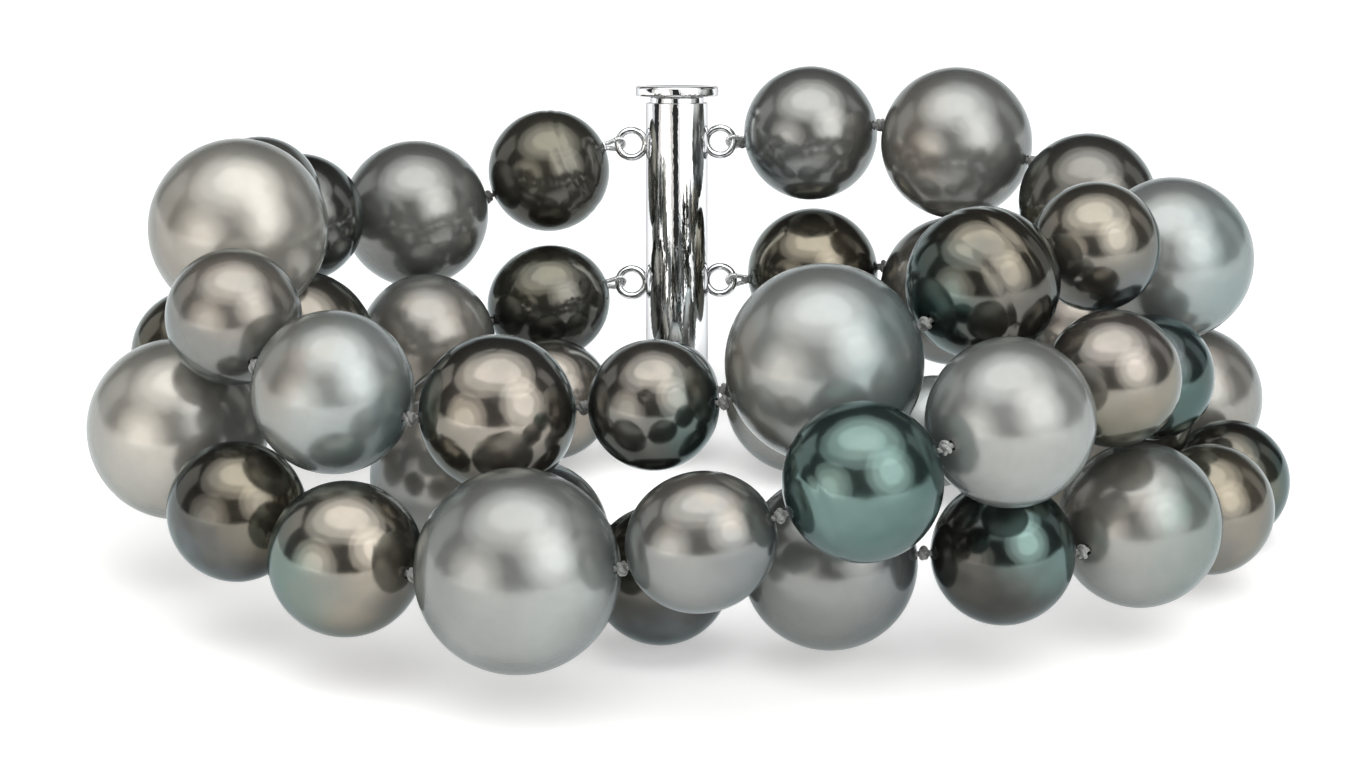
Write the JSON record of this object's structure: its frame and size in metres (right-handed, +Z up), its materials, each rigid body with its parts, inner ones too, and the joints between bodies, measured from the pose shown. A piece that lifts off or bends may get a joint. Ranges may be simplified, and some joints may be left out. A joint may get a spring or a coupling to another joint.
{
  "type": "coiled pearl necklace",
  "caption": "Two strands of dark cultured pearls hand-knotted on silk and coiled into a wrist-sized ring, closed by a tube slide clasp with ringed ends.",
  "frame": {"origin": "middle of the coil's footprint, on the table that the lowest pearl touches", "axes": "+Z up off the table, +Y from the front of the coil to the clasp at its back, +X to the wearer's right as seen from the front"},
  "size_m": [0.095, 0.0806, 0.0339],
  "materials": {
    "pearl_black": "gloss",
    "pearl_charcoal": "gloss",
    "pearl_bronze": "gloss",
    "pearl_peacock": "gloss",
    "pearl_steel": "gloss",
    "pearl_silver": "gloss",
    "pearl_cream": "gloss",
    "silk_cord": "satin",
    "gimp_wire": "satin",
    "clasp_silver": "polished"
  },
  "bodies": {
    "strung_clasp": {"outer_tube": "clasp_silver", "tube_plug": "clasp_silver", "outer_rings": "clasp_silver", "left_end_loops": "gimp_wire", "upper_silk": "silk_cord", "lower_silk": "silk_cord"},
    "clasp_tongue": {"inner_tube": "clasp_silver", "inner_rings": "clasp_silver", "thumb_cap": "clasp_silver", "right_end_loops": "gimp_wire"},
    "upper_pearl_01_turning": {"upper_pearl_01": "pearl_bronze"},
    "upper_pearl_02_turning": {"upper_pearl_02": "pearl_charcoal"},
    "upper_pearl_03_turning": {"upper_pearl_03": "pearl_black"},
    "upper_pearl_04_turning": {"upper_pearl_04": "pearl_steel"},
    "upper_pearl_05_turning": {"upper_pearl_05": "pearl_cream"},
    "upper_pearl_06_turning": {"upper_pearl_06": "pearl_charcoal"},
    "upper_pearl_07_turning": {"upper_pearl_07": "pearl_silver"},
    "upper_pearl_08_turning": {"upper_pearl_08": "pearl_bronze"},
    "upper_pearl_09_turning": {"upper_pearl_09": "pearl_charcoal"},
    "upper_pearl_10_turning": {"upper_pearl_10": "pearl_silver"},
    "upper_pearl_11_turning": {"upper_pearl_11": "pearl_black"},
    "upper_pearl_12_turning": {"upper_pearl_12": "pearl_bronze"},
    "upper_pearl_13_turning": {"upper_pearl_13": "pearl_silver"},
    "upper_pearl_14_turning": {"upper_pearl_14": "pearl_charcoal"},
    "upper_pearl_15_turning": {"upper_pearl_15": "pearl_bronze"},
    "upper_pearl_16_turning": {"upper_pearl_16": "pearl_steel"},
    "upper_pearl_17_turning": {"upper_pearl_17": "pearl_charcoal"},
    "lower_pearl_01_turning": {"lower_pearl_01": "pearl_black"},
    "lower_pearl_02_turning": {"lower_pearl_02": "pearl_steel"},
    "lower_pearl_03_turning": {"lower_pearl_03": "pearl_charcoal"},
    "lower_pearl_04_turning": {"lower_pearl_04": "pearl_bronze"},
    "lower_pearl_05_turning": {"lower_pearl_05": "pearl_cream"},
    "lower_pearl_06_turning": {"lower_pearl_06": "pearl_charcoal"},
    "lower_pearl_07_turning": {"lower_pearl_07": "pearl_bronze"},
    "lower_pearl_08_turning": {"lower_pearl_08": "pearl_silver"},
    "lower_pearl_09_turning": {"lower_pearl_09": "pearl_steel"},
    "lower_pearl_10_turning": {"lower_pearl_10": "pearl_peacock"},
    "lower_pearl_11_turning": {"lower_pearl_11": "pearl_silver"},
    "lower_pearl_12_turning": {"lower_pearl_12": "pearl_bronze"},
    "lower_pearl_13_turning": {"lower_pearl_13": "pearl_peacock"},
    "lower_pearl_14_turning": {"lower_pearl_14": "pearl_charcoal"},
    "lower_pearl_15_turning": {"lower_pearl_15": "pearl_bronze"},
    "lower_pearl_16_turning": {"lower_pearl_16": "pearl_silver"},
    "lower_pearl_17_turning": {"lower_pearl_17": "pearl_steel"},
    "lower_pearl_18_turning": {"lower_pearl_18": "pearl_charcoal"},
    "lower_pearl_19_turning": {"lower_pearl_19": "pearl_bronze"},
    "lower_pearl_20_turning": {"lower_pearl_20": "pearl_steel"},
    "lower_pearl_21_turning": {"lower_pearl_21": "pearl_silver"},
    "lower_pearl_22_turning": {"lower_pearl_22": "pearl_charcoal"},
    "lower_pearl_23_turning": {"lower_pearl_23": "pearl_black"},
    "lower_pearl_24_turning": {"lower_pearl_24": "pearl_steel"},
    "lower_pearl_25_turning": {"lower_pearl_25": "pearl_peacock"},
    "lower_pearl_26_turning": {"lower_pearl_26": "pearl_silver"},
    "lower_pearl_27_turning": {"lower_pearl_27": "pearl_bronze"},
    "lower_pearl_28_turning": {"lower_pearl_28": "pearl_peacock"},
    "lower_pearl_29_turning": {"lower_pearl_29": "pearl_silver"},
    "lower_pearl_30_turning": {"lower_pearl_30": "pearl_bronze"},
    "lower_pearl_31_turning": {"lower_pearl_31": "pearl_steel"},
    "lower_pearl_32_turning": {"lower_pearl_32": "pearl_black"}
  },
  "joints": [
    {"name": "tongue_slide", "type": "slide", "parent": "strung_clasp", "child": "clasp_tongue", "axis": [0, 0.2588, 0.9659], "range_m": [0, 0.021]},
    {"name": "upper_spin_01", "type": "hinge", "parent": "strung_clasp", "child": "upper_pearl_01_turning", "pos_m": [-0.01222, 0.03525, 0.02064], "axis": [-0.9109, 0, -0.4126], "continuous": true},
    {"name": "upper_spin_02", "type": "hinge", "parent": "strung_clasp", "child": "upper_pearl_02_turning", "pos_m": [-0.02341, 0.03225, 0.01779], "axis": [-0.892, -0.446, -0.0743], "continuous": true},
    {"name": "upper_spin_03", "type": "hinge", "parent": "strung_clasp", "child": "upper_pearl_03_turning", "pos_m": [-0.03266, 0.025, 0.01979], "axis": [-0.5503, -0.7197, 0.4233], "continuous": true},
    {"name": "upper_spin_04", "type": "hinge", "parent": "strung_clasp", "child": "upper_pearl_04_turning", "pos_m": [-0.03516, 0.01575, 0.02454], "axis": [0.1355, -0.9035, 0.4066], "continuous": true},
    {"name": "upper_spin_05", "type": "hinge", "parent": "strung_clasp", "child": "upper_pearl_05_turning", "pos_m": [-0.03591, 0.00325, 0.02604], "axis": [-0.1952, -0.9759, -0.0976], "continuous": true},
    {"name": "upper_spin_06", "type": "hinge", "parent": "strung_clasp", "child": "upper_pearl_06_turning", "pos_m": [-0.03541, -0.00925, 0.02304], "axis": [0.3427, -0.8567, -0.3855], "continuous": true},
    {"name": "upper_spin_07", "type": "hinge", "parent": "strung_clasp", "child": "upper_pearl_07_turning", "pos_m": [-0.02741, -0.01725, 0.01979], "axis": [0.8847, -0.4423, -0.1474], "continuous": true},
    {"name": "upper_spin_08", "type": "hinge", "parent": "strung_clasp", "child": "upper_pearl_08_turning", "pos_m": [-0.01491, -0.01975, 0.01904], "axis": [0.9963, 0.0766, 0.0383], "continuous": true},
    {"name": "upper_spin_09", "type": "hinge", "parent": "strung_clasp", "child": "upper_pearl_09_turning", "pos_m": [-0.00316, -0.02075, 0.02004], "axis": [0.9526, -0.2722, 0.1361], "continuous": true},
    {"name": "upper_spin_10", "type": "hinge", "parent": "strung_clasp", "child": "upper_pearl_10_turning", "pos_m": [0.00959, -0.02125, 0.02354], "axis": [0.9316, 0.1242, 0.3416], "continuous": true},
    {"name": "upper_spin_11", "type": "hinge", "parent": "strung_clasp", "child": "upper_pearl_11_turning", "pos_m": [0.02159, -0.016, 0.02804], "axis": [0.6996, 0.6607, 0.2721], "continuous": true},
    {"name": "upper_spin_12", "type": "hinge", "parent": "strung_clasp", "child": "upper_pearl_12_turning", "pos_m": [0.03059, -0.00875, 0.02854], "axis": [0.8107, 0.5405, -0.2252], "continuous": true},
    {"name": "upper_spin_13", "type": "hinge", "parent": "strung_clasp", "child": "upper_pearl_13_turning", "pos_m": [0.03734, 0.00025, 0.02454], "axis": [0.3227, 0.8604, -0.3944], "continuous": true},
    {"name": "upper_spin_14", "type": "hinge", "parent": "strung_clasp", "child": "upper_pearl_14_turning", "pos_m": [0.03809, 0.01225, 0.02079], "axis": [-0.2394, 0.9577, -0.1596], "continuous": true},
    {"name": "upper_spin_15", "type": "hinge", "parent": "strung_clasp", "child": "upper_pearl_15_turning", "pos_m": [0.03234, 0.02225, 0.02204], "axis": [-0.6795, 0.6395, 0.3597], "continuous": true},
    {"name": "upper_spin_16", "type": "hinge", "parent": "strung_clasp", "child": "upper_pearl_16_turning", "pos_m": [0.02184, 0.029, 0.02504], "axis": [-0.9098, 0.4003, 0.1092], "continuous": true},
    {"name": "upper_spin_17", "type": "hinge", "parent": "strung_clasp", "child": "upper_pearl_17_turning", "pos_m": [0.00981, 0.03353, 0.02449], "axis": [-0.9344, 0.2872, -0.2108], "continuous": true},
    {"name": "lower_spin_01", "type": "hinge", "parent": "strung_clasp", "child": "lower_pearl_01_turning", "pos_m": [-0.01222, 0.02974, 0.01074], "axis": [-0.8898, -0.4264, -0.1628], "continuous": true},
    {"name": "lower_spin_02", "type": "hinge", "parent": "strung_clasp", "child": "lower_pearl_02_turning", "pos_m": [-0.02216, 0.02325, 0.00954], "axis": [-0.7643, -0.6436, -0.0402], "continuous": true},
    {"name": "lower_spin_03", "type": "hinge", "parent": "strung_clasp", "child": "lower_pearl_03_turning", "pos_m": [-0.03216, 0.016, 0.01179], "axis": [-0.7881, -0.4879, 0.3753], "continuous": true},
    {"name": "lower_spin_04", "type": "hinge", "parent": "strung_clasp", "child": "lower_pearl_04_turning", "pos_m": [-0.03991, 0.0075, 0.01404], "axis": [-0.4295, -0.902, -0.043], "continuous": true},
    {"name": "lower_spin_05", "type": "hinge", "parent": "strung_clasp", "child": "lower_pearl_05_turning", "pos_m": [-0.04041, -0.005, 0.01229], "axis": [0.2608, -0.9454, -0.1956], "continuous": true},
    {"name": "lower_spin_06", "type": "hinge", "parent": "strung_clasp", "child": "lower_pearl_06_turning", "pos_m": [-0.03491, -0.017, 0.01004], "axis": [0.5885, -0.7986, -0.1261], "continuous": true},
    {"name": "lower_spin_07", "type": "hinge", "parent": "strung_clasp", "child": "lower_pearl_07_turning", "pos_m": [-0.02616, -0.0255, 0.00954], "axis": [0.8131, -0.5808, 0.0387], "continuous": true},
    {"name": "lower_spin_08", "type": "hinge", "parent": "strung_clasp", "child": "lower_pearl_08_turning", "pos_m": [-0.01316, -0.03175, 0.01104], "axis": [0.9407, -0.3034, 0.1517], "continuous": true},
    {"name": "lower_spin_09", "type": "hinge", "parent": "strung_clasp", "child": "lower_pearl_09_turning", "pos_m": [0.00034, -0.03475, 0.01454], "axis": [0.9282, -0.0807, 0.3632], "continuous": true},
    {"name": "lower_spin_10", "type": "hinge", "parent": "strung_clasp", "child": "lower_pearl_10_turning", "pos_m": [0.01209, -0.03425, 0.01904], "axis": [0.9251, 0.1542, 0.3469], "continuous": true},
    {"name": "lower_spin_11", "type": "hinge", "parent": "strung_clasp", "child": "lower_pearl_11_turning", "pos_m": [0.02309, -0.0285, 0.02154], "axis": [0.7245, 0.6883, 0.0362], "continuous": true},
    {"name": "lower_spin_12", "type": "hinge", "parent": "strung_clasp", "child": "lower_pearl_12_turning", "pos_m": [0.03134, -0.019, 0.02154], "axis": [0.5642, 0.8245, -0.0434], "continuous": true},
    {"name": "lower_spin_13", "type": "hinge", "parent": "strung_clasp", "child": "lower_pearl_13_turning", "pos_m": [0.03509, -0.00975, 0.01829], "axis": [0.0921, 0.8285, -0.5523], "continuous": true},
    {"name": "lower_spin_14", "type": "hinge", "parent": "strung_clasp", "child": "lower_pearl_14_turning", "pos_m": [0.03384, -0.0005, 0.01204], "axis": [-0.2909, 0.7896, -0.5403], "continuous": true},
    {"name": "lower_spin_15", "type": "hinge", "parent": "strung_clasp", "child": "lower_pearl_15_turning", "pos_m": [0.02794, 0.00745, 0.00624], "axis": [-0.7121, 0.5491, -0.4375], "continuous": true},
    {"name": "lower_spin_16", "type": "hinge", "parent": "strung_clasp", "child": "lower_pearl_16_turning", "pos_m": [0.01959, 0.01315, 0.00534], "axis": [-0.8142, 0.4846, 0.3198], "continuous": true},
    {"name": "lower_spin_17", "type": "hinge", "parent": "strung_clasp", "child": "lower_pearl_17_turning", "pos_m": [0.00899, 0.01855, 0.00649], "axis": [-0.9086, 0.4117, -0.071], "continuous": true},
    {"name": "lower_spin_18", "type": "hinge", "parent": "strung_clasp", "child": "lower_pearl_18_turning", "pos_m": [-0.00236, 0.02195, 0.00544], "axis": [-0.9889, 0.0999, -0.1099], "continuous": true},
    {"name": "lower_spin_19", "type": "hinge", "parent": "strung_clasp", "child": "lower_pearl_19_turning", "pos_m": [-0.01186, 0.01935, 0.00589], "axis": [-0.8131, -0.554, 0.1787], "continuous": true},
    {"name": "lower_spin_20", "type": "hinge", "parent": "strung_clasp", "child": "lower_pearl_20_turning", "pos_m": [-0.01866, 0.01075, 0.00659], "axis": [-0.3782, -0.9244, -0.0504], "continuous": true},
    {"name": "lower_spin_21", "type": "hinge", "parent": "strung_clasp", "child": "lower_pearl_21_turning", "pos_m": [-0.01891, -0.00175, 0.00704], "axis": [0.2733, -0.9565, 0.1025], "continuous": true},
    {"name": "lower_spin_22", "type": "hinge", "parent": "strung_clasp", "child": "lower_pearl_22_turning", "pos_m": [-0.01266, -0.01375, 0.00654], "axis": [0.6362, -0.7485, -0.1871], "continuous": true},
    {"name": "lower_spin_23", "type": "hinge", "parent": "strung_clasp", "child": "lower_pearl_23_turning", "pos_m": [-0.00266, -0.02, 0.00604], "axis": [0.9693, -0.2107, 0.1264], "continuous": true},
    {"name": "lower_spin_24", "type": "hinge", "parent": "strung_clasp", "child": "lower_pearl_24_turning", "pos_m": [0.01009, -0.0225, 0.00804], "axis": [0.9696, -0.1731, 0.1731], "continuous": true},
    {"name": "lower_spin_25", "type": "hinge", "parent": "strung_clasp", "child": "lower_pearl_25_turning", "pos_m": [0.02309, -0.023, 0.00904], "axis": [0.9914, 0.1239, -0.0413], "continuous": true},
    {"name": "lower_spin_26", "type": "hinge", "parent": "strung_clasp", "child": "lower_pearl_26_turning", "pos_m": [0.03384, -0.01725, 0.00904], "axis": [0.6883, 0.7245, 0.0362], "continuous": true},
    {"name": "lower_spin_27", "type": "hinge", "parent": "strung_clasp", "child": "lower_pearl_27_turning", "pos_m": [0.04009, -0.0075, 0.00654], "axis": [0.2636, 0.8348, -0.4833], "continuous": true},
    {"name": "lower_spin_28", "type": "hinge", "parent": "strung_clasp", "child": "lower_pearl_28_turning", "pos_m": [0.04259, 0.0025, 0.00504], "axis": [0.1822, 0.9565, 0.2277], "continuous": true},
    {"name": "lower_spin_29", "type": "hinge", "parent": "strung_clasp", "child": "lower_pearl_29_turning", "pos_m": [0.04034, 0.013, 0.00829], "axis": [-0.5007, 0.8089, 0.3081], "continuous": true},
    {"name": "lower_spin_30", "type": "hinge", "parent": "strung_clasp", "child": "lower_pearl_30_turning", "pos_m": [0.03234, 0.0215, 0.01079], "axis": [-0.8222, 0.5626, 0.0865], "continuous": true},
    {"name": "lower_spin_31", "type": "hinge", "parent": "strung_clasp", "child": "lower_pearl_31_turning", "pos_m": [0.02184, 0.02825, 0.01229], "axis": [-0.8449, 0.5143, 0.1469], "continuous": true},
    {"name": "lower_spin_32", "type": "hinge", "parent": "strung_clasp", "child": "lower_pearl_32_turning", "pos_m": [0.01006, 0.03201, 0.01259], "axis": [-0.9923, 0.0431, -0.1159], "continuous": true}
  ]
}
